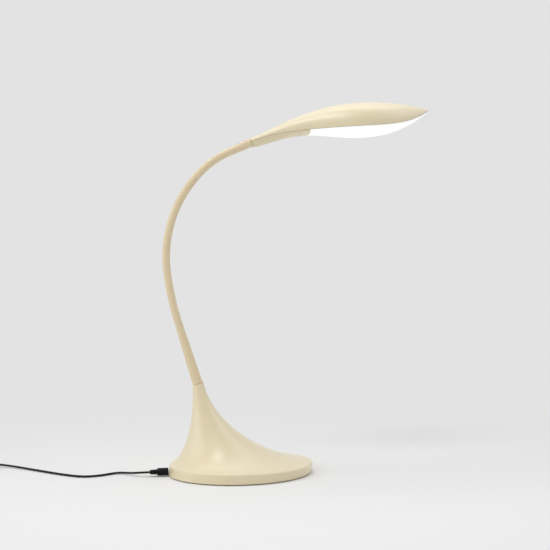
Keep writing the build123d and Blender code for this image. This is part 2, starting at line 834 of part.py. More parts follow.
# Opal diffuser under the leaf
with BuildPart() as lens_hollow:
    loft(sections=[lower_half(level, lens_wall, hollow_skirt) for level in lens_hollow_shares])

with BuildPart() as diffuser:
    loft(sections=[lower_half(level, 0, 0) for level in head_level_shares])
    add(lens_hollow.part, mode=Mode.SUBTRACT)
    with BuildSketch(lens_cut.offset(head_seam_gap)):
        Rectangle(head_length, head_length)
    extrude(amount=-head_length, mode=Mode.SUBTRACT)
diffuser.part.label = "diffuser"
export_step(diffuser.part, "parts/diffuser.step")

# Neck end held between the stem's two halves
with BuildPart() as head_bush:
    with BuildSketch(neck_plane(neck_length)):
        Circle(head_bush_r)
        Circle(bush_lead_r, mode=Mode.SUBTRACT)
    extrude(amount=head_bush_length)
    with BuildSketch(neck_plane(neck_length)):
        Circle(core_r + bush_play)
    extrude(amount=head_bush_length - head_bush_floor, mode=Mode.SUBTRACT)
head_bush.part.label = "head_bush"
export_step(head_bush.part, "parts/head_bush.step")

with BuildPart() as stem_screw:
    with Locations((stem_screw_x, 0, stem_screw_z)):
        Cone(
            stem_screw_head_r,
            stem_screw_r,
            stem_cone_height,
            align=(Align.CENTER, Align.CENTER, Align.MIN),
        )
        Cylinder(stem_screw_r, stem_screw_length, align=(Align.CENTER, Align.CENTER, Align.MIN))
stem_screw.part.label = "stem_screw"
export_step(stem_screw.part, "parts/stem_screw.step")

# Light: spreader, board, LED packages and screws on the tilted plane
with BuildPart() as heat_spreader:
    with BuildSketch(plate_plane):
        Ellipse(spreader_a, spreader_b)
        with GridLocations(2 * mast_x, 0, 2, 1):
            Circle(board_screw_hole_r, mode=Mode.SUBTRACT)
    extrude(amount=spreader_thickness)
heat_spreader.part.label = "heat_spreader"
export_step(heat_spreader.part, "parts/heat_spreader.step")

with BuildPart() as led_board:
    with BuildSketch(plate_plane.offset(-led_board_thickness)):
        Ellipse(led_board_a, led_board_b)
        with GridLocations(2 * mast_x, 0, 2, 1):
            Circle(board_screw_hole_r, mode=Mode.SUBTRACT)
    extrude(amount=led_board_thickness)
led_board.part.label = "led_board"
export_step(led_board.part, "parts/led_board.step")

led_places = []
for led_index in range(led_ring_count):
    led_angle = math.pi * (2 * led_index + 1) / led_ring_count
    led_places.append((led_ring_a * math.cos(led_angle), led_ring_b * math.sin(led_angle)))
for led_index in range(led_row_count):
    led_places.append((led_row_pitch * (led_index - (led_row_count - 1) / 2), 0))
with BuildPart() as leds:
    with BuildSketch(plate_plane.offset(-led_board_thickness)):
        with Locations(*led_places):
            Rectangle(led_length, led_width)
    extrude(amount=-led_height)
leds.part.label = "leds"
export_step(leds.part, "parts/leds.step")

with BuildPart() as board_screws:
    with BuildSketch(plate_plane.offset(-led_board_thickness)):
        with GridLocations(2 * mast_x, 0, 2, 1):
            Circle(board_screw_head_r)
    extrude(amount=-board_screw_head_height)
    with BuildSketch(plate_plane.offset(-led_board_thickness)):
        with GridLocations(2 * mast_x, 0, 2, 1):
            Circle(mast_pilot_r)
    extrude(amount=board_screw_length)
board_screws.part.label = "board_screws"
export_step(board_screws.part, "parts/board_screws.step")

# Push switch: button and plunger move, body and board stay, and the button's top follows the ridge
with BuildPart() as switch_button:
    with BuildSketch(switch_plane.offset(button_floor)):
        Circle(button_r)
    extrude(amount=button_height)
    with BuildSketch(Plane(origin=switch_plane.origin, x_dir=(0, 1, 0), z_dir=switch_plane.x_dir)):
        with Locations((0, -button_crown_r)):
            Circle(button_crown_r + button_proud)
    extrude(amount=button_height, both=True, mode=Mode.INTERSECT)
    with BuildSketch(switch_plane.offset(-button_flange_drop)):
        Circle(button_flange_r)
    extrude(amount=-button_flange_height)
switch_button.part.label = "switch_button"
export_step(switch_button.part, "parts/switch_button.step")

with BuildPart() as switch_plunger:
    with BuildSketch(switch_plane.offset(button_floor)):
        Circle(plunger_r)
    extrude(amount=-plunger_length - plunger_sink)
switch_plunger.part.label = "switch_plunger"
export_step(switch_plunger.part, "parts/switch_plunger.step")

with BuildPart() as switch_body:
    with BuildSketch(switch_plane.offset(tact_roof)):
        Rectangle(tact_size, tact_size)
    extrude(amount=-tact_height)
    with BuildSketch(switch_plane.offset(tact_roof)):
        Circle(plunger_r + plunger_play)
    extrude(amount=-tact_bore_depth, mode=Mode.SUBTRACT)
switch_body.part.label = "switch_body"
export_step(switch_body.part, "parts/switch_body.step")

with BuildPart() as switch_board:
    with BuildSketch(switch_plane.offset(tact_roof - tact_height)):
        Rectangle(switch_board_length, switch_board_width)
    extrude(amount=-switch_board_thickness)
switch_board.part.label = "switch_board"
export_step(switch_board.part, "parts/switch_board.step")

# Leads in the head: neck to switch, switch to light
board_middle = switch_plane.origin + switch_plane.z_dir * (switch_board_floor + switch_board_thickness / 2)
board_rear = board_middle - switch_plane.x_dir * (switch_board_length / 2)
board_front = board_middle + switch_plane.x_dir * (switch_board_length / 2)
head_lead_start, head_lead_way, _ = neck_at(neck_lead_end)
head_lead_bend = neck_at(neck_length + stem_reach - head_lead_early)[0]
head_lead_arcs = biarc(head_lead_bend, head_lead_way, board_rear, switch_plane.x_dir)
with BuildPart() as head_lead:
    with BuildLine() as head_lead_path:
        Line(head_lead_start, head_lead_bend)
        for arc_low, arc_middle, arc_high in head_lead_arcs:
            ThreePointArc(arc_low, arc_middle, arc_high)
    with BuildSketch(neck_plane(neck_lead_end)):
        Circle(lead_r)
    sweep(path=head_lead_path.wire())
head_lead.part.label = "head_lead"
export_step(head_lead.part, "parts/head_lead.step")

led_lead_end = plate_plane.from_local_coords(Vector(-led_board_a, 0, -led_lead_drop))
led_lead_corner = led_lead_end - plate_plane.x_dir * led_lead_in
led_lead_low = board_front + switch_plane.x_dir * led_lead_out
led_lead_near = Vector(stem_screw_x - led_lead_out, led_lead_side, (led_lead_low.Z + led_lead_corner.Z) / 2)
led_lead_far = Vector((stem_screw_x + led_lead_corner.X) / 2, led_lead_side, led_lead_near.Z)
led_lead_route = [board_front, led_lead_low, led_lead_near, led_lead_far, led_lead_corner, led_lead_end]
with BuildPart() as led_lead:
    with BuildLine() as led_lead_path:
        FilletPolyline(*led_lead_route, radius=[min(led_lead_bend, r) for r in corner_radii(led_lead_route)])
    with BuildSketch(Plane(origin=board_front, x_dir=(0, 1, 0), z_dir=switch_plane.x_dir)):
        Circle(lead_r)
    sweep(path=led_lead_path.wire())
led_lead.part.label = "led_lead"
export_step(led_lead.part, "parts/led_lead.step")

# Barrel plug with a ribbed tail, lying in line with the jack
plug_face_x = -(rim_foot_a + plug_gap)
with BuildPart() as plug_grip:
    with BuildSketch(Plane(origin=(plug_face_x, 0, jack_z), x_dir=(0, 1, 0), z_dir=(-1, 0, 0))):
        Circle(plug_grip_r)
    extrude(amount=plug_grip_length)
    fillet(plug_grip.faces().sort_by(Axis.X)[0].edges(), radius=plug_edge)
    tail_x = plug_face_x - plug_grip_length
    with BuildSketch(Plane(origin=(tail_x, 0, jack_z), x_dir=(0, 1, 0), z_dir=(-1, 0, 0))):
        Circle(plug_tail_r)
    extrude(amount=plug_tail_length)
    for rib_index in range(plug_rib_count):
        rib_x = tail_x - plug_rib_start - rib_index * plug_rib_pitch
        with BuildSketch(Plane(origin=(rib_x, 0, jack_z), x_dir=(0, 1, 0), z_dir=(-1, 0, 0))):
            Circle(plug_rib_r - plug_rib_taper * rib_index)
        extrude(amount=plug_rib_width)
plug_grip.part.label = "plug_grip"
export_step(plug_grip.part, "parts/plug_grip.step")

with BuildPart() as plug_barrel:
    with BuildSketch(Plane(origin=(plug_face_x, 0, jack_z), x_dir=(0, 1, 0), z_dir=(1, 0, 0))):
        Circle(barrel_r)
        Circle(barrel_bore_r, mode=Mode.SUBTRACT)
    extrude(amount=barrel_length)
plug_barrel.part.label = "plug_barrel"
export_step(plug_barrel.part, "parts/plug_barrel.step")

# Free run of the lead along the table
route = [Vector(*p) for p in cord_route]
route[0] = Vector(tail_x - plug_tail_length, 0, jack_z)
route_ways = [unit(b - a) for a, b in zip(route, route[1:])]
route_radii = corner_radii(route)
print("cord bend radii", [round(r, 1) for r in route_radii])
with BuildPart() as cord_run:
    with BuildLine() as cord_path:
        FilletPolyline(*route, radius=route_radii)
    with BuildSketch(Plane(origin=route[0], x_dir=(0, 1, 0), z_dir=route_ways[0])):
        Circle(cord_r)
    sweep(path=cord_path.wire())
cord_run_length = cord_path.wire().length
cord_run.part.label = "cord_run"
export_step(cord_run.part, "parts/cord_run.step")
print("cord run length", round(cord_run_length, 1))
print("cord run volume share", round(cord_run.part.volume / (math.pi * cord_r**2 * cord_run_length), 4))

# Put-away coil: half turns that spiral in and out in four layers, climbing where the spiral reverses
coil_start = route[-1]
coil_way = route_ways[-1]
coil_spot = coil_start + coil_way * (2 * cord_r)
coil_arcs = []
coil_radius = coil_outer_r
coil_change = -coil_pitch / 2
for layer_index, half_turns in enumerate(coil_layer_half_turns):
    climbing = layer_index < len(coil_layer_half_turns) - 1
    for turn_index in range(half_turns + climbing):
        rise = coil_rise if turn_index == half_turns else 0
        spot_after = coil_spot + turned(coil_way, math.pi / 2) * (2 * coil_radius) + Vector(0, 0, rise)
        coil_arcs += biarc(coil_spot, coil_way, spot_after, coil_way * -1)
        coil_spot = spot_after
        coil_way = coil_way * -1
        if turn_index == half_turns:
            coil_change = -coil_change
        coil_radius += coil_change
coil_quarter = coil_spot + coil_way * coil_radius + turned(coil_way, math.pi / 2) * coil_radius
coil_arcs += biarc(coil_spot, coil_way, coil_quarter, turned(coil_way, math.pi / 2))
tail_way = turned(coil_way, math.pi / 2)
tail_foot = coil_quarter + tail_way * tail_run + Vector(0, 0, usb_axis_z - coil_quarter.Z)
coil_arcs += biarc(coil_quarter, tail_way, tail_foot, tail_way)
coil_end = tail_foot + tail_way * (2 * cord_r)
with BuildPart() as cord_coil:
    with BuildLine() as coil_path:
        Line(coil_start, coil_arcs[0][0])
        for arc_low, arc_middle, arc_high in coil_arcs:
            ThreePointArc(arc_low, arc_middle, arc_high)
        Line(coil_arcs[-1][2], coil_end)
    with BuildSketch(Plane(origin=coil_start, x_dir=(0, 0, 1), z_dir=route_ways[-1])):
        Circle(cord_r)
    sweep(path=coil_path.wire())
coil_length = coil_path.wire().length
cord_coil.part.label = "cord_coil"
export_step(cord_coil.part, "parts/cord_coil.step")
print("coil length", round(coil_length, 1), "half turns", sum(coil_layer_half_turns) + 3)
print("coil volume share", round(cord_coil.part.volume / (math.pi * cord_r**2 * coil_length), 4))
coil_marks = []
for arc_edge in coil_path.edges():
    coil_marks += [arc_edge.position_at(i / 6) for i in range(6)]
coil_runs = [0]
for low_mark, high_mark in zip(coil_marks, coil_marks[1:]):
    coil_runs.append(coil_runs[-1] + (high_mark - low_mark).length)
coil_gap = min(
    (high_mark - low_mark).length
    for i, low_mark in enumerate(coil_marks)
    for j, high_mark in enumerate(coil_marks)
    if coil_runs[j] - coil_runs[i] > coil_skip_share * cord_r
)
print("coil least gap to itself", round(coil_gap - 2 * cord_r, 2))

# Tie around the coil's bundle, on the side where no turn climbs
odd_spot = coil_start + route_ways[-1] * (2 * cord_r) + turned(route_ways[-1], math.pi / 2) * coil_outer_r
tie_way = route_ways[-1] * -1
tie_turns = (coil_layer_half_turns[0] - 1) / 2
tie_in = coil_outer_r - coil_pitch * tie_turns - cord_r - tie_side_gap
tie_out = coil_outer_r - coil_pitch / 2 + cord_r + tie_gap
tie_low = coil_start.Z - cord_r - tie_gap
tie_high = coil_start.Z + 3 * coil_rise + cord_r + tie_gap
tie_middle = odd_spot + tie_way * ((tie_in + tie_out) / 2)
tie_plane = Plane(
    origin=(tie_middle.X, tie_middle.Y, (tie_low + tie_high) / 2),
    x_dir=tie_way,
    z_dir=turned(tie_way, math.pi / 2),
)
with BuildPart() as coil_tie:
    with BuildSketch(tie_plane):
        RectangleRounded(
            tie_out - tie_in + 2 * tie_thickness,
            tie_high - tie_low + 2 * tie_thickness,
            tie_corner + tie_thickness,
        )
        RectangleRounded(tie_out - tie_in, tie_high - tie_low, tie_corner, mode=Mode.SUBTRACT)
    extrude(amount=tie_width / 2, both=True)
coil_tie.part.label = "coil_tie"
export_step(coil_tie.part, "parts/coil_tie.step")

# Supply plug at the lead's far end
usb_plane = Plane(origin=coil_end, x_dir=turned(tail_way, math.pi / 2), z_dir=tail_way)
with BuildPart() as usb_grip:
    with BuildSketch(usb_plane):
        Circle(usb_tail_r)
    extrude(amount=usb_tail_length)
    with BuildSketch(usb_plane.offset(usb_tail_length)):
        RectangleRounded(usb_grip_width, usb_grip_height, usb_grip_corner)
    extrude(amount=usb_grip_length)
    with BuildSketch(usb_plane.offset(usb_tail_length + usb_grip_length)):
        Rectangle(usb_shell_width, usb_shell_height)
    extrude(amount=-usb_shell_sink, mode=Mode.SUBTRACT)
usb_grip.part.label = "usb_grip"
export_step(usb_grip.part, "parts/usb_grip.step")

usb_mouth = usb_tail_length + usb_grip_length + usb_shell_length
with BuildPart() as usb_shell:
    with BuildSketch(usb_plane.offset(usb_mouth)):
        Rectangle(usb_shell_width, usb_shell_height)
        Rectangle(
            usb_shell_width - 2 * usb_shell_wall,
            usb_shell_height - 2 * usb_shell_wall,
            mode=Mode.SUBTRACT,
        )
    extrude(amount=-usb_shell_length - usb_shell_sink)
usb_shell.part.label = "usb_shell"
export_step(usb_shell.part, "parts/usb_shell.step")

tongue_rise = usb_shell_height / 2 - usb_shell_wall - usb_tongue_height / 2
with BuildPart() as usb_tongue:
    with BuildSketch(usb_plane.offset(usb_tail_length + usb_grip_length - usb_shell_sink)):
        with Locations((0, tongue_rise)):
            Rectangle(usb_tongue_width, usb_tongue_height)
    extrude(amount=usb_tongue_length + usb_shell_sink)
usb_tongue.part.label = "usb_tongue"
export_step(usb_tongue.part, "parts/usb_tongue.step")

print("lead length", round(cord_run_length + coil_length, 1))
for hinge_index in range(hinge_count):
    hinge_frame = hinge_plane(hinge_index)
    hinge_place = tuple(round(v, 3) for v in hinge_frame.origin)
    hinge_axis = tuple(round(v, 5) for v in hinge_frame.z_dir)
    print("hinge", hinge_index + 1, hinge_place, hinge_axis)
print("switch way", tuple(round(v, 5) for v in switch_plane.z_dir))
print("coil middle", tuple(round(v, 1) for v in odd_spot))
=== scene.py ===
"""Desk lamp with a gooseneck: finishes, bowed neck, free lead and studio around the frame."""

import math

import bpy
from mathutils import Matrix, Vector


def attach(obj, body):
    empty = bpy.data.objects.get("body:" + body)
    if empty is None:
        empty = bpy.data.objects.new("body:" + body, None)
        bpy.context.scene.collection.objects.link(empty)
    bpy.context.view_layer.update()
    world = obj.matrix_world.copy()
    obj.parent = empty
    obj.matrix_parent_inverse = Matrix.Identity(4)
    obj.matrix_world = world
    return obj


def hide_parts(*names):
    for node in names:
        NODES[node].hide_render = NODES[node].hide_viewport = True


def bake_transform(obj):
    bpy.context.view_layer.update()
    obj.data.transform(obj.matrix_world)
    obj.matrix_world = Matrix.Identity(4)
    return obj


bl_info = {
    "name": "Gooseneck desk lamp",
    "version": (1, 0, 0),
    "blender": (4, 5, 0),
    "location": "View3D > Sidebar > Lamp",
    "description": "Dresses the packed desk lamp: finishes, neck, lead and studio",
    "category": "Object",
}

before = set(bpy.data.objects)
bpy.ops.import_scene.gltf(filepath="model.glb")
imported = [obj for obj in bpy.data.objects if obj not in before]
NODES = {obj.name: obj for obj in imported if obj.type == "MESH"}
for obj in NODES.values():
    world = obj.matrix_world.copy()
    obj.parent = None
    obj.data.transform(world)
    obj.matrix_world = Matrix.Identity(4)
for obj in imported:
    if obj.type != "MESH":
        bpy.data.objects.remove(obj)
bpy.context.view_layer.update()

# Neck path in metres: straight, three tangent bows, straight
NECK_START = (-0.049, 0.104)
NECK_LEAN = math.radians(-17.64)
NECK_FIRST = 0.0718
NECK_BOWS = (
    (0.345, math.radians(9.8)),
    (0.1404, math.radians(55.8)),
    (0.0973, math.radians(17.2)),
)
NECK_LAST = 0.0304
NECK_LENGTH = NECK_FIRST + sum(radius * turn for radius, turn in NECK_BOWS) + NECK_LAST

# Hinges along the neck, and the bodies and core lengths on either side of them
HINGE_FIRST = 0.024
HINGE_PITCH = 0.0396
HINGE_COUNT = 8
LINKS = range(1, HINGE_COUNT)
CORE_NODES = ["neck_core_base", *[f"neck_core_{i}" for i in LINKS], "neck_core_head"]
BLEND_INSET = 0.001

# Sleeve: gap at its two ends, rings along it, sides round it, and the rings that round its lips
SLEEVE_GAP = 0.0002
SLEEVE_STEP = 0.001
SLEEVE_SIDES = 64
LIP_SHARES = (0.1, 0.3, 0.6, 1.0)
SHARP_EDGE = math.radians(50)

# Winding inside the sleeve, and how far it reaches into the base and the head
WINDING_RADIUS = 0.0031
WINDING_RIDGE = 0.00015
WINDING_PITCH = 0.0036
WINDING_BORE = 0.0017
WINDING_STEP = 0.0009
WINDING_SIDES = 20
CORE_SINK = 0.012

# Wire inside the winding, which runs through the bushes at both ends
WIRE_RADIUS = 0.0011
WIRE_STEP = 0.003
WIRE_SIDES = 16
BUSH_LENGTH = 0.038
HEAD_BUSH_LENGTH = 0.015

# Lead route in metres, then the coil that follows its last point
CORD_ROUTE = (
    (-0.1034, 0.0, 0.0049),
    (-0.1125, 0.0, 0.0049),
    (-0.124, 0.012, 0.0022),
    (-0.1385, 0.0235, 0.00125),
    (-0.158, 0.011, 0.00125),
    (-0.178, 0.0085, 0.00125),
    (-0.2, 0.025, 0.00125),
    (-0.226, 0.0505, 0.00125),
    (-0.252, 0.075, 0.0016),
    (-0.273, 0.09, 0.00245),
    (-0.292, 0.098, 0.00245),
)
CORD_RADIUS = 0.0012
COIL_RADIUS = 0.0175
COIL_PITCH = 0.0029
COIL_RISE = 0.0029
COIL_HALF_TURNS = (6, 5, 5, 5)
COIL_POINTS = 8

# Tail from the coil down to the supply plug: shares of its length and of its drop
COIL_TAIL = 0.026
TAIL_SHAPE = ((0.2, 0), (0.45, 0.15), (0.65, 0.85), (0.9, 1))
PLUG_AXIS_Z = 0.0042

# Camera of the photograph: level, its horizon in the middle of the picture
CAMERA_PLACE = (-0.1768, -1.0271, 0.2284)
CAMERA_WAY = (0.2079, 0.9781, 0.0)
CAMERA_LENS = 58.9
CAMERA_SENSOR = 36.0

# Floor in metres: half its side, its drop below the pad, where its colour turns greyer as painted
# shade for the dimmer light behind the lamp, and between which distances from the lamp it fades
# to the backdrop
FLOOR_REACH = 30.0
FLOOR_DROP = 0.0003
PAINTED_SHADE_START, PAINTED_SHADE_END, PAINTED_SHADE_MOST = -0.3, 0.3, 0.55
FADE_START, FADE_END = 0.2, 0.75
AIR_STRENGTH = 0.45

# Studio lamps, all turned to one point: name, place, width and depth in metres, watts
LAMPS_LOOK_AT = (0.0, 0.0, 0.2)
STUDIO_LAMPS = (
    ("overhead_strip", (0.0, 0.25, 2.05), 2.4, 0.7, 10.6),
    ("rear_strip", (0.0, 1.2, 1.9), 2.4, 1.2, 2.8),
    ("front_softbox", (-0.38, -0.66, 1.8), 0.45, 0.45, 5.0),
    ("left_softbox", (-2.3, -0.4, 1.15), 2.2, 2.2, 17.5),
    ("right_softbox", (1.7, -0.4, 1.7), 1.5, 1.5, 6.2),
)

# Moulded finishes: millimetres over which colour and gloss drift, and how far the gloss swings
DRIFT_MM = 55
PATCH_MM = 9
GLOSS_SWING = 0.05
MOULDED_BUMP = 0.35

# Metal finishes: shares of the colour in the dark and bright lines, and how the gloss follows
LINE_DARK, LINE_BRIGHT = 0.88, 1.06
LINE_GLOSS_DOWN, LINE_GLOSS_UP = 0.06, 0.08
METAL_BUMP = 0.3

# Diffuser: how far up a face has to look, as a share of straight up, to give off no light
DARK_FACING = 0.3

# Places of the Mix node's two colours and of its mixed colour among its sockets
MIX_FIRST, MIX_SECOND, MIX_RESULT = 6, 7, 2


def linear(code):
    """Turns an sRGB hex colour into linear values."""
    shares = [int(code[i : i + 2], 16) / 255 for i in (1, 3, 5)]
    return tuple(s / 12.92 if s <= 0.04045 else ((s + 0.055) / 1.055) ** 2.4 for s in shares)


def add_node(tree, kind, inputs=None, **settings):
    """Adds a node to a material, with its settings, and sets or links its inputs."""
    made = tree.nodes.new(kind)
    for name, value in settings.items():
        setattr(made, name, value)
    for name, value in (inputs or {}).items():
        if isinstance(value, bpy.types.NodeSocket):
            tree.links.new(value, made.inputs[name])
        else:
            made.inputs[name].default_value = value
    return made


def per_mm(size):
    """Scale of a pattern whose marks are that many millimetres apart."""
    return 1000.0 / size


class LampFinishes(bpy.types.PropertyGroup):
    """Colours that a user would change."""

    shell: bpy.props.FloatVectorProperty(
        name="Shell",
        description="Cream of the moulded shells",
        subtype="COLOR",
        size=3,
        min=0,
        max=1,
        default=linear("#EADCB8"),
    )
    sleeve: bpy.props.FloatVectorProperty(
        name="Sleeve",
        description="Cream of the silicone over the neck",
        subtype="COLOR",
        size=3,
        min=0,
        max=1,
        default=linear("#E6D4B0"),
    )
    lead: bpy.props.FloatVectorProperty(
        name="Lead",
        description="Black of the lead and its plugs",
        subtype="COLOR",
        size=3,
        min=0,
        max=1,
        default=linear("#0E0E0F"),
    )
    glow: bpy.props.FloatProperty(
        name="Glow",
        description="Strength of the light that the diffuser gives off",
        min=0,
        max=10,
        default=0.33,
    )
    paper: bpy.props.FloatVectorProperty(
        name="Paper",
        description="Colour of the studio's paper on the table",
        subtype="COLOR",
        size=3,
        min=0,
        max=1,
        default=linear("#F4F4F4"),
    )
    wall: bpy.props.FloatVectorProperty(
        name="Wall",
        description="Colour of the studio's paper behind the lamp",
        subtype="COLOR",
        size=3,
        min=0,
        max=1,
        default=linear("#E3E3E3"),
    )


class LampSizes(bpy.types.PropertyGroup):
    """Sizes of the soft pieces that a user would change."""

    sleeve_foot: bpy.props.FloatProperty(
        name="Sleeve foot",
        description="Radius of the sleeve where it meets the base",
        unit="LENGTH",
        default=0.0059,
        precision=5,
    )
    sleeve_middle: bpy.props.FloatProperty(
        name="Sleeve middle",
        description="Radius of the sleeve along the bow",
        unit="LENGTH",
        default=0.0044,
        precision=5,
    )
    sleeve_head: bpy.props.FloatProperty(
        name="Sleeve head",
        description="Radius of the sleeve where it meets the head",
        unit="LENGTH",
        default=0.0051,
        precision=5,
    )
    sleeve_lip: bpy.props.FloatProperty(
        name="Sleeve lip",
        description="Rounding of the sleeve's two ends",
        unit="LENGTH",
        default=0.0003,
        precision=5,
    )
    sleeve_bore: bpy.props.FloatProperty(
        name="Sleeve bore",
        description="Inside radius of the sleeve",
        unit="LENGTH",
        default=0.00345,
        precision=5,
    )
    cord: bpy.props.FloatProperty(
        name="Lead",
        description="Radius of the free lead",
        unit="LENGTH",
        default=CORD_RADIUS,
        precision=5,
    )


def plastic(name, colour, roughness, grain, depth, drift=0.06, ior=1.53):
    """Moulded plastic or rubber: a colour that drifts a little, a fine grain and uneven gloss."""
    made = bpy.data.materials.new(name)
    made.use_nodes = True
    tree = made.node_tree
    shader = tree.nodes["Principled BSDF"]
    place = add_node(tree, "ShaderNodeTexCoord").outputs["Object"]
    flow = add_node(
        tree,
        "ShaderNodeTexNoise",
        {"Vector": place, "Scale": per_mm(DRIFT_MM), "Detail": 2.0, "Roughness": 0.45},
    )
    tint = add_node(
        tree,
        "ShaderNodeMix",
        {
            "Factor": flow.outputs["Fac"],
            MIX_FIRST: (*[c * (1 - drift) for c in colour], 1),
            MIX_SECOND: (*[min(1, c * (1 + drift)) for c in colour], 1),
        },
        data_type="RGBA",
    )
    shine = add_node(
        tree,
        "ShaderNodeTexNoise",
        {"Vector": place, "Scale": per_mm(PATCH_MM), "Detail": 3.0, "Roughness": 0.5},
    )
    gloss = add_node(
        tree,
        "ShaderNodeMapRange",
        {
            "Value": shine.outputs["Fac"],
            "To Min": roughness - GLOSS_SWING,
            "To Max": roughness + GLOSS_SWING,
        },
    )
    # A tool's eroded grain is about 0.1 mm wide, too fine for the picture, so it is drawn coarser
    sparks = add_node(
        tree,
        "ShaderNodeTexNoise",
        {"Vector": place, "Scale": per_mm(grain), "Detail": 4.0, "Roughness": 0.6},
    )
    bump = add_node(
        tree,
        "ShaderNodeBump",
        {"Height": sparks.outputs["Fac"], "Strength": MOULDED_BUMP, "Distance": depth},
    )
    tree.links.new(tint.outputs[MIX_RESULT], shader.inputs["Base Color"])
    tree.links.new(gloss.outputs["Result"], shader.inputs["Roughness"])
    tree.links.new(bump.outputs["Normal"], shader.inputs["Normal"])
    shader.inputs["IOR"].default_value = ior
    return made


def metal(name, colour, roughness, grain, stretch, depth):
    """Bare or plated metal: a grain drawn out along one axis, and gloss that follows it."""
    made = bpy.data.materials.new(name)
    made.use_nodes = True
    tree = made.node_tree
    shader = tree.nodes["Principled BSDF"]
    place = add_node(tree, "ShaderNodeTexCoord").outputs["Object"]
    drawn = add_node(tree, "ShaderNodeMapping", {"Vector": place, "Scale": stretch})
    # Real drawing lines are finer than a tenth of a millimetre, so these are drawn coarser to show
    lines = add_node(
        tree,
        "ShaderNodeTexNoise",
        {"Vector": drawn.outputs["Vector"], "Scale": per_mm(grain), "Detail": 3.0},
    )
    tint = add_node(
        tree,
        "ShaderNodeMix",
        {
            "Factor": lines.outputs["Fac"],
            MIX_FIRST: (*[c * LINE_DARK for c in colour], 1),
            MIX_SECOND: (*[min(1, c * LINE_BRIGHT) for c in colour], 1),
        },
        data_type="RGBA",
    )
    gloss = add_node(
        tree,
        "ShaderNodeMapRange",
        {
            "Value": lines.outputs["Fac"],
            "To Min": roughness - LINE_GLOSS_DOWN,
            "To Max": roughness + LINE_GLOSS_UP,
        },
    )
    bump = add_node(
        tree,
        "ShaderNodeBump",
        {"Height": lines.outputs["Fac"], "Strength": METAL_BUMP, "Distance": depth},
    )
    tree.links.new(tint.outputs[MIX_RESULT], shader.inputs["Base Color"])
    tree.links.new(gloss.outputs["Result"], shader.inputs["Roughness"])
    tree.links.new(bump.outputs["Normal"], shader.inputs["Normal"])
    shader.inputs["Metallic"].default_value = 1.0
    return made


def dress(node, material):
    """Gives a CAD node its finish and smooth faces."""
    piece = NODES[node]
    piece.data.materials.clear()
    piece.data.materials.append(material)
    for face in piece.data.polygons:
        face.use_smooth = True


def neck_at(run):
    """Point and in-plane normal of the neck's middle line at a length along it."""
    lean = NECK_LEAN
    x, z = NECK_START
    left = run
    if left > NECK_FIRST:
        x += NECK_FIRST * math.sin(lean)
        z += NECK_FIRST * math.cos(lean)
        left -= NECK_FIRST
        for radius, turn in NECK_BOWS:
            step = min(left, radius * turn)
            after = lean + step / radius
            x += radius * (math.cos(lean) - math.cos(after))
            z += radius * (math.sin(after) - math.sin(lean))
            lean = after
            left -= step
            if left <= 0:
                break
    tangent = Vector((math.sin(lean), 0, math.cos(lean)))
    normal = Vector((math.cos(lean), 0, -math.sin(lean)))
    return Vector((x, 0, z)) + tangent * left, normal


def neck_tube(name, runs, radius_at, bore, sides):
    """Closed tube along the neck: its outside follows the run and the turn, its bore is plain."""
    verts, faces = [], []
    walls = [(runs, radius_at)]
    if bore:
        walls.append((runs[::-1], lambda run, turn: bore))
    for wall_runs, wall_radius in walls:
        for run in wall_runs:
            place, normal = neck_at(run)
            for i in range(sides):
                turn = 2 * math.pi * i / sides
                way = normal * math.cos(turn) + Vector((0, 1, 0)) * math.sin(turn)
                verts.append(place + way * wall_radius(run, turn))
    rings = len(verts) // sides
    for ring in range(rings if bore else rings - 1):
        low, high = ring * sides, (ring + 1) % rings * sides
        for i in range(sides):
            j = (i + 1) % sides
            faces.append((low + j, high + j, high + i, low + i))
    if not bore:
        faces.append(tuple(reversed(range(sides))))
        faces.append(tuple(range((rings - 1) * sides, rings * sides)))
    mesh = bpy.data.meshes.new(name)
    mesh.from_pydata(verts, [], faces)
    mesh.update()
    for face in mesh.polygons:
        face.use_smooth = True
    mesh.set_sharp_from_angle(angle=SHARP_EDGE)
    piece = bpy.data.objects.new(name, mesh)
    bpy.context.scene.collection.objects.link(piece)
    return piece


def neck_cuts(start, end):
    """The neck's lengths, from the middle of one link to that of the next, each with its hinge."""
    middles = [HINGE_FIRST + HINGE_PITCH * (i + 0.5) for i in range(HINGE_COUNT - 1)]
    stops = [start, *middles, end]
    return [(stops[i], stops[i + 1], HINGE_FIRST + HINGE_PITCH * i) for i in range(HINGE_COUNT)]


def spread(start, end, step):
    """Evenly spread lengths from start to end, both included."""
    count = max(1, round((end - start) / step))
    return [start + (end - start) * i / count for i in range(count + 1)]


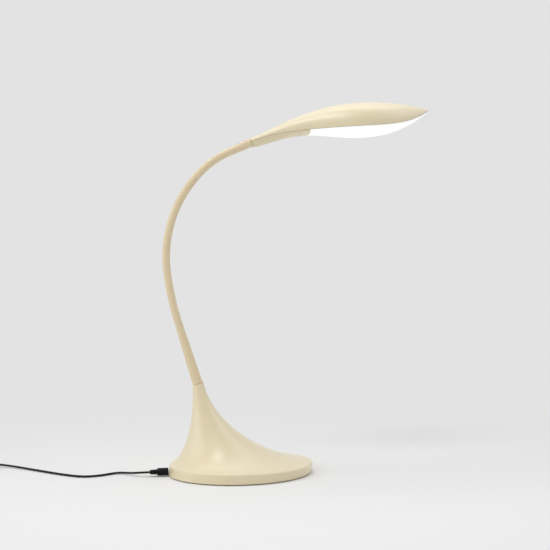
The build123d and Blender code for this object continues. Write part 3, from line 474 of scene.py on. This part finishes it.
def bend_with_neck(piece, hinge):
    """Bakes the piece's placing into its mesh; points beside its hinge are found but not used."""
    reach = HINGE_PITCH / 2 - BLEND_INSET
    neck_at(hinge - reach)[0]
    neck_at(hinge + reach)[0]
    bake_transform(piece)


class LAMP_OT_stage(bpy.types.Operator):
    """Builds the paper sweep, the lights and the photograph's camera"""

    bl_idname = "lamp.stage"
    bl_label = "Studio"

    def execute(self, context):
        scene = context.scene
        self.lay_floor(scene)
        self.fill_air(scene)
        self.hang_lamps(scene)
        self.set_camera(scene)
        scene.view_settings.view_transform = "Standard"
        return {"FINISHED"}

    def lay_floor(self, scene):
        """Floor whose own Y runs away from the camera, with the lamp at the middle of its X."""
        away = (Vector((0, 0, 0)) - Vector(CAMERA_PLACE)).dot(Vector(CAMERA_WAY))
        mesh = bpy.data.meshes.new("studio_floor")
        reach = FLOOR_REACH
        corners = [(-reach, -reach, 0), (reach, -reach, 0), (reach, reach, 0), (-reach, reach, 0)]
        mesh.from_pydata(corners, [], [(0, 1, 2, 3)])
        floor = bpy.data.objects.new("studio_floor", mesh)
        floor.location = (
            CAMERA_PLACE[0] + away * CAMERA_WAY[0],
            CAMERA_PLACE[1] + away * CAMERA_WAY[1],
            -FLOOR_DROP,
        )
        floor.rotation_euler.z = -math.atan2(CAMERA_WAY[0], CAMERA_WAY[1])
        scene.collection.objects.link(floor)
        mesh.materials.append(self.paper(scene.lamp_finishes))

    def paper(self, finishes):
        """Paper of the floor, which far off shows the backdrop's grey and keeps the shadow near."""
        # Seamless paper: matt, pale under the lamp, greyer behind it as painted shade for the
        # dimmer light there, and far off an even grey
        material = bpy.data.materials.new("seamless_paper_matt")
        material.use_nodes = True
        tree = material.node_tree
        shader = tree.nodes["Principled BSDF"]
        place = add_node(tree, "ShaderNodeTexCoord").outputs["Object"]
        axes = add_node(tree, "ShaderNodeSeparateXYZ", {"Vector": place})
        # Painted shade: away from the camera the paper's colour turns towards the wall's grey
        behind = add_node(
            tree,
            "ShaderNodeMapRange",
            {
                "Value": axes.outputs["Y"],
                "From Min": PAINTED_SHADE_START,
                "From Max": PAINTED_SHADE_END,
                "To Max": PAINTED_SHADE_MOST,
            },
            interpolation_type="SMOOTHSTEP",
        )
        painted_shade_tone = add_node(
            tree,
            "ShaderNodeMix",
            {
                "Factor": behind.outputs["Result"],
                MIX_FIRST: (*finishes.paper, 1),
                MIX_SECOND: (*finishes.wall, 1),
            },
            data_type="RGBA",
        )
        tree.links.new(painted_shade_tone.outputs[MIX_RESULT], shader.inputs["Base Color"])
        shader.inputs["Roughness"].default_value = 0.9
        shader.inputs["Specular IOR Level"].default_value = 0.1
        spot = add_node(tree, "ShaderNodeVectorMath", {0: place}, operation="LENGTH")
        far = add_node(
            tree,
            "ShaderNodeMapRange",
            {"Value": spot.outputs["Value"], "From Min": FADE_START, "From Max": FADE_END},
            interpolation_type="SMOOTHSTEP",
        )
        shown = add_node(
            tree,
            "ShaderNodeMath",
            {0: far.outputs["Result"], 1: self.seen(tree)},
            operation="MULTIPLY",
        )
        backdrop = add_node(
            tree,
            "ShaderNodeEmission",
            {"Color": (*finishes.wall, 1), "Strength": 1.0},
        )
        ground = add_node(
            tree,
            "ShaderNodeMixShader",
            {0: shown.outputs["Value"], 1: shader.outputs["BSDF"], 2: backdrop.outputs["Emission"]},
        )
        tree.links.new(ground.outputs["Shader"], tree.nodes["Material Output"].inputs["Surface"])
        return material

    def fill_air(self, scene):
        """World: soft white air for the light, the backdrop's grey for what is seen or mirrored."""
        world = bpy.data.worlds.new("studio_air")
        world.use_nodes = True
        tree = world.node_tree
        air = tree.nodes["Background"]
        air.inputs["Color"].default_value = (1, 1, 1, 1)
        air.inputs["Strength"].default_value = AIR_STRENGTH
        backdrop = add_node(
            tree,
            "ShaderNodeBackground",
            {"Color": (*scene.lamp_finishes.wall, 1), "Strength": 1.0},
        )
        sky = add_node(
            tree,
            "ShaderNodeMixShader",
            {0: self.seen(tree), 1: air.outputs["Background"], 2: backdrop.outputs["Background"]},
        )
        tree.links.new(sky.outputs["Shader"], tree.nodes["World Output"].inputs["Surface"])
        scene.world = world

    def hang_lamps(self, scene):
        """Soft studio lamps that all look at one point of the lamp."""
        target = Vector(LAMPS_LOOK_AT)
        for name, place, width, depth, power in STUDIO_LAMPS:
            light = bpy.data.lights.new(name, "AREA")
            light.shape = "RECTANGLE"
            light.size = width
            light.size_y = depth
            light.energy = power
            lamp = bpy.data.objects.new(name, light)
            lamp.location = place
            lamp.rotation_euler = (target - Vector(place)).to_track_quat("-Z", "Y").to_euler()
            scene.collection.objects.link(lamp)

    def set_camera(self, scene):
        """Camera at the photograph's place and angle."""
        data = bpy.data.cameras.new("photo_camera")
        data.lens = CAMERA_LENS
        data.sensor_width = CAMERA_SENSOR
        camera = bpy.data.objects.new("photo_camera", data)
        camera.location = CAMERA_PLACE
        camera.rotation_euler = Vector(CAMERA_WAY).to_track_quat("-Z", "Y").to_euler()
        scene.collection.objects.link(camera)
        scene.camera = camera

    def seen(self, tree):
        """Value that is 1 for rays from the camera, a mirror or a glass, and 0 for the others."""
        path = add_node(tree, "ShaderNodeLightPath")
        mirrored = add_node(
            tree,
            "ShaderNodeMath",
            {0: path.outputs["Is Glossy Ray"], 1: path.outputs["Is Transmission Ray"]},
            operation="MAXIMUM",
        )
        either = add_node(
            tree,
            "ShaderNodeMath",
            {0: path.outputs["Is Camera Ray"], 1: mirrored.outputs["Value"]},
            operation="MAXIMUM",
        )
        return either.outputs["Value"]


class LAMP_OT_lead(bpy.types.Operator):
    """Lays the free lead from its barrel plug to the tied coil and its supply plug"""

    bl_idname = "lamp.lead"
    bl_label = "Lead"

    def execute(self, context):
        finishes = context.scene.lamp_finishes
        sizes = context.scene.lamp_sizes
        # Extruded PVC: deep black with a soft, narrow sheen along the lead
        jacket = plastic(
            "black_pvc_extruded",
            finishes.lead,
            roughness=0.5,
            grain=1.4,
            depth=0.00002,
            drift=0.12,
            ior=1.3,
        )
        # Moulded PVC: the same black, duller, with a faint eroded grain on the grips
        grip = plastic(
            "black_pvc_moulded",
            finishes.lead,
            roughness=0.58,
            grain=0.9,
            depth=0.00004,
            drift=0.1,
            ior=1.27,
        )
        points = [Vector(p) for p in CORD_ROUTE]
        points += self.coil_points()
        curve = bpy.data.curves.new("lead", "CURVE")
        curve.dimensions = "3D"
        spline = curve.splines.new("NURBS")
        spline.points.add(len(points) - 1)
        for point, place in zip(spline.points, points):
            point.co = (*place, 1)
        spline.order_u = 3
        spline.use_endpoint_u = True
        spline.resolution_u = 6
        curve.bevel_depth = sizes.cord
        curve.bevel_resolution = 5
        curve.use_fill_caps = True
        lead = bpy.data.objects.new("lead", curve)
        context.scene.collection.objects.link(lead)
        lead.data.materials.append(jacket)
        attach(lead, "base")
        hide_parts("cord_run", "cord_coil")
        for name in ("plug_grip", "usb_grip"):
            dress(name, grip)
        # Nylon tie: a slightly greyer black than the lead that it holds
        nylon = plastic(
            "black_nylon_tie",
            linear("#202022"),
            roughness=0.45,
            grain=1.1,
            depth=0.00004,
            drift=0.1,
        )
        dress("coil_tie", nylon)
        # Nickel plating: a pale, warm mirror with fine drawn lines
        nickel = metal(
            "nickel_plated_brass",
            linear("#CFCBC2"),
            roughness=0.22,
            grain=1.2,
            stretch=(1, 1, 0.2),
            depth=0.00001,
        )
        for name in ("plug_barrel", "usb_shell"):
            dress(name, nickel)
        # White ABS: the pale tongue that shows in the supply plug's mouth
        tongue = plastic(
            "white_abs_moulded",
            linear("#E6E6E4"),
            roughness=0.4,
            grain=0.8,
            depth=0.00003,
        )
        dress("usb_tongue", tongue)
        return {"FINISHED"}

    def coil_points(self):
        """Points of the coil's half turns, in and out in four layers, and of its tail."""
        way = (Vector(CORD_ROUTE[-1]) - Vector(CORD_ROUTE[-2])).normalized()
        spot = Vector(CORD_ROUTE[-1]) + way * 2 * CORD_RADIUS
        left = Matrix.Rotation(math.pi / 2, 3, "Z")
        step = math.pi / COIL_POINTS
        # A quadratic spline runs inside its points, so they stand a little further out
        outward = 1 / (0.75 + 0.25 * math.cos(step))
        radius, change = COIL_RADIUS, -COIL_PITCH / 2
        points = []
        for layer, half_turns in enumerate(COIL_HALF_TURNS):
            climbing = layer < len(COIL_HALF_TURNS) - 1
            for turn in range(half_turns + climbing):
                rise = COIL_RISE if turn == half_turns else 0
                middle = spot + left @ way * radius
                for i in range(COIL_POINTS):
                    angle = step * (i + 0.5)
                    arm = Matrix.Rotation(angle, 3, "Z") @ (spot - middle) * outward
                    points.append(middle + arm + Vector((0, 0, rise * angle / math.pi)))
                spot = middle * 2 - spot + Vector((0, 0, rise))
                way = -way
                if turn == half_turns:
                    change = -change
                radius += change
        middle = spot + left @ way * radius
        for i in range(COIL_POINTS // 2):
            arm = Matrix.Rotation(step * (i + 0.5), 3, "Z") @ (spot - middle) * outward
            points.append(middle + arm)
        way = left @ way
        corner = middle + Matrix.Rotation(math.pi / 2, 3, "Z") @ (spot - middle)
        drop = Vector((0, 0, PLUG_AXIS_Z - corner.z))
        for share, fall in TAIL_SHAPE:
            points.append(corner + way * COIL_TAIL * share + drop * fall)
        points.append(corner + way * (COIL_TAIL + 2 * CORD_RADIUS) + drop)
        return points


class LAMP_OT_neck(bpy.types.Operator):
    """Makes the silicone sleeve, the wound core and the wire in it, in lengths from link to link"""

    bl_idname = "lamp.neck"
    bl_label = "Neck"

    def execute(self, context):
        finishes = context.scene.lamp_finishes
        sizes = context.scene.lamp_sizes
        # Silicone: a warm cream, smooth at arm's length, with a soft sheen on the bow's lit side
        silicone = plastic(
            "cream_silicone_moulded",
            finishes.sleeve,
            roughness=0.46,
            grain=0.8,
            depth=0.000003,
            drift=0.03,
            ior=1.47,
        )
        # Zinc on spring steel: a dull grey winding that shows only where the sleeve is cut or moved
        spring = metal(
            "zinc_plated_spring_steel",
            linear("#B9B8B2"),
            roughness=0.35,
            grain=0.8,
            stretch=(1, 1, 1),
            depth=0.00001,
        )
        # Wire jacket: plain black, out of sight inside the core
        wire = plastic(
            "black_pvc_wire",
            linear("#1F1C1C"),
            roughness=0.5,
            grain=1.0,
            depth=0.00002,
            drift=0.1,
        )
        end = NECK_LENGTH - SLEEVE_GAP
        bows_end = NECK_LENGTH - NECK_LAST

        def sleeve_radius(run, turn):
            """Taper at the foot and the head, even along the bows, a rounded lip at each end."""
            if run < NECK_FIRST:
                share = 1 - run / NECK_FIRST
                radius = sizes.sleeve_middle + (sizes.sleeve_foot - sizes.sleeve_middle) * share
            elif run > bows_end:
                share = (run - bows_end) / NECK_LAST
                radius = sizes.sleeve_middle + (sizes.sleeve_head - sizes.sleeve_middle) * share
            else:
                radius = sizes.sleeve_middle
            inside = min(run - SLEEVE_GAP, end - run)
            if inside < sizes.sleeve_lip:
                away = sizes.sleeve_lip - max(0.0, inside)
                radius -= sizes.sleeve_lip - math.sqrt(max(0.0, sizes.sleeve_lip**2 - away**2))
            return radius

        def winding_radius(run, turn):
            """Ridges of the wound wire, which climb once round in each pitch."""
            climb = 2 * math.pi * run / WINDING_PITCH
            return WINDING_RADIUS + WINDING_RIDGE * math.sin(climb - turn)

        def wire_radius(run, turn):
            """The same all along."""
            return WIRE_RADIUS

        lips = [sizes.sleeve_lip * share for share in LIP_SHARES]
        for index, (low, high, hinge) in enumerate(neck_cuts(SLEEVE_GAP, end)):
            runs = spread(low, high, SLEEVE_STEP)
            if index == 0:
                runs = sorted(set(runs + [SLEEVE_GAP + lip for lip in lips]))
            if index == HINGE_COUNT - 1:
                runs = sorted(set(runs + [end - lip for lip in lips]))
            name = f"neck_sleeve_length_{index + 1}"
            sleeve = neck_tube(name, runs, sleeve_radius, sizes.sleeve_bore, SLEEVE_SIDES)
            sleeve.data.materials.append(silicone)
            bend_with_neck(sleeve, hinge)
            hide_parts("neck_sleeve")
        core_cuts = neck_cuts(-CORE_SINK, NECK_LENGTH + CORE_SINK)
        for index, (low, high, hinge) in enumerate(core_cuts):
            runs = spread(low, high, WINDING_STEP)
            name = f"neck_winding_{index + 1}"
            core = neck_tube(name, runs, winding_radius, WINDING_BORE, WINDING_SIDES)
            core.data.materials.append(spring)
            bend_with_neck(core, hinge)
            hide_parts(CORE_NODES[index], CORE_NODES[index + 1])
        wire_cuts = neck_cuts(-BUSH_LENGTH, NECK_LENGTH + HEAD_BUSH_LENGTH)
        for index, (low, high, hinge) in enumerate(wire_cuts):
            runs = spread(low, high, WIRE_STEP)
            lead = neck_tube(f"neck_wire_{index + 1}", runs, wire_radius, 0, WIRE_SIDES)
            lead.data.materials.append(wire)
            bend_with_neck(lead, hinge)
            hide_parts("neck_lead")
        return {"FINISHED"}


class LAMP_OT_shells(bpy.types.Operator):
    """Finishes the cream shells, the stem cover, the switch button and the lit diffuser"""

    bl_idname = "lamp.shells"
    bl_label = "Shells and diffuser"

    def execute(self, context):
        finishes = context.scene.lamp_finishes
        # Lacquered ABS: warm cream under a clear satin coat, whose sheen whitens the lit sides
        cream = plastic(
            "cream_abs_satin_lacquered",
            finishes.shell,
            roughness=0.4,
            grain=0.9,
            depth=0.00001,
            drift=0.02,
        )
        shader = cream.node_tree.nodes["Principled BSDF"]
        shader.inputs["Coat Weight"].default_value = 0.8
        shader.inputs["Coat Roughness"].default_value = 0.3
        for name in ("base_shell", "head_shell", "stem_cover", "switch_button"):
            dress(name, cream)
        # Opal PMMA: an even white glow outside, dark on the edge that faces up into the seam
        opal = plastic(
            "opal_pmma_moulded",
            linear("#F4F4F2"),
            roughness=0.3,
            grain=0.7,
            depth=0.000005,
            drift=0.01,
            ior=1.49,
        )
        tree = opal.node_tree
        shader = tree.nodes["Principled BSDF"]
        facing = add_node(tree, "ShaderNodeTexCoord").outputs["Normal"]
        axes = add_node(tree, "ShaderNodeSeparateXYZ", {"Vector": facing})
        glow = add_node(
            tree,
            "ShaderNodeMapRange",
            {
                "Value": axes.outputs["Z"],
                "From Min": DARK_FACING,
                "From Max": 0.0,
                "To Max": finishes.glow,
            },
        )
        shader.inputs["Emission Color"].default_value = (1, 1, 1, 1)
        tree.links.new(glow.outputs["Result"], shader.inputs["Emission Strength"])
        dress("diffuser", opal)
        return {"FINISHED"}


class LAMP_OT_insides(bpy.types.Operator):
    """Finishes what is inside the base and the head, and under the base"""

    bl_idname = "lamp.insides"
    bl_label = "Insides"

    def execute(self, context):
        # Black ABS: satin black of the plate, the jack and the small parts
        black = plastic(
            "black_abs_moulded",
            linear("#191919"),
            roughness=0.45,
            grain=0.9,
            depth=0.00004,
            drift=0.1,
        )
        for name in ("base_plate", "power_jack", "board_parts", "switch_plunger", "switch_body"):
            dress(name, black)
        # Foam: dark grey and dead matt, with open pores
        foam = plastic(
            "grey_eva_foam",
            linear("#3A3A3A"),
            roughness=0.85,
            grain=0.9,
            depth=0.00025,
            drift=0.15,
        )
        dress("anti_slip_pad", foam)
        # Zinc plate: cool, bright grey on screws, washer and nut
        zinc = metal(
            "zinc_plated_steel",
            linear("#C3C2BB"),
            roughness=0.33,
            grain=0.9,
            stretch=(1, 1, 0.3),
            depth=0.00001,
        )
        for name in ("base_screws", "neck_washer", "neck_nut", "stem_screw", "board_screws"):
            dress(name, zinc)
        # Raw iron: dark, coarse and dull
        iron = metal(
            "cast_iron_raw",
            linear("#55565A"),
            roughness=0.6,
            grain=1.6,
            stretch=(1, 1, 1),
            depth=0.00008,
        )
        dress("ballast", iron)
        # Turned brass: yellow with fine rings from the lathe
        brass = metal(
            "turned_brass",
            linear("#C9A353"),
            roughness=0.28,
            grain=0.7,
            stretch=(1, 1, 3),
            depth=0.00001,
        )
        for name in ("neck_bush", "head_bush"):
            dress(name, brass)
        # Nickel pin: a small bright point in the jack's mouth
        pin = metal(
            "nickel_plated_pin",
            linear("#CFCBC2"),
            roughness=0.2,
            grain=0.9,
            stretch=(0.2, 1, 1),
            depth=0.00001,
        )
        dress("jack_pin", pin)
        # Aluminium sheet: pale grey with rolling lines along its length
        sheet = metal(
            "stamped_aluminium",
            linear("#C6C8CA"),
            roughness=0.4,
            grain=0.6,
            stretch=(0.08, 1, 1),
            depth=0.00001,
        )
        dress("heat_spreader", sheet)
        # Solder mask: glossy dark green on the two circuit boards
        green = plastic(
            "green_solder_mask",
            linear("#1E5A32"),
            roughness=0.3,
            grain=1.1,
            depth=0.00003,
            drift=0.12,
        )
        for name in ("driver_board", "switch_board"):
            dress(name, green)
        # White mask: bright, so that it throws the light back at the diffuser
        white = plastic(
            "white_solder_mask",
            linear("#EDEDEA"),
            roughness=0.35,
            grain=1.0,
            depth=0.00002,
        )
        dress("led_board", white)
        # Phosphor: yellow domes that show when the diffuser is off
        phosphor = plastic(
            "phosphor_silicone",
            linear("#F2D862"),
            roughness=0.25,
            grain=0.6,
            depth=0.00002,
            ior=1.45,
        )
        dress("leds", phosphor)
        # Wire jacket: plain black inside the shells
        wire = plastic(
            "black_pvc_wire_inside",
            linear("#1F1C1C"),
            roughness=0.5,
            grain=1.0,
            depth=0.00002,
            drift=0.1,
        )
        for name in ("base_lead", "head_lead", "led_lead"):
            dress(name, wire)
        return {"FINISHED"}


class LAMP_PT_panel(bpy.types.Panel):
    """Lists the lamp's steps and what a user would change"""

    bl_idname = "LAMP_PT_panel"
    bl_label = "Desk lamp"
    bl_space_type = "VIEW_3D"
    bl_region_type = "UI"
    bl_category = "Lamp"

    def draw(self, context):
        for group in (context.scene.lamp_finishes, context.scene.lamp_sizes):
            for name in group.bl_rna.properties.keys():
                if name not in ("rna_type", "name"):
                    self.layout.prop(group, name)
        for operator in OPERATORS:
            self.layout.operator(operator.bl_idname)


OPERATORS = (LAMP_OT_stage, LAMP_OT_lead, LAMP_OT_neck, LAMP_OT_shells, LAMP_OT_insides)
CLASSES = (LampFinishes, LampSizes, *OPERATORS, LAMP_PT_panel)


def register():
    for made in CLASSES:
        bpy.utils.register_class(made)
    bpy.types.Scene.lamp_finishes = bpy.props.PointerProperty(type=LampFinishes)
    bpy.types.Scene.lamp_sizes = bpy.props.PointerProperty(type=LampSizes)


def unregister():
    del bpy.types.Scene.lamp_sizes
    del bpy.types.Scene.lamp_finishes
    for made in reversed(CLASSES):
        bpy.utils.unregister_class(made)


def main():
    """Builds everything in order."""
    register()
    bpy.ops.lamp.stage()
    bpy.ops.lamp.lead()
    bpy.ops.lamp.neck()
    bpy.ops.lamp.shells()
    bpy.ops.lamp.insides()


if __name__ == "__main__":
    main()
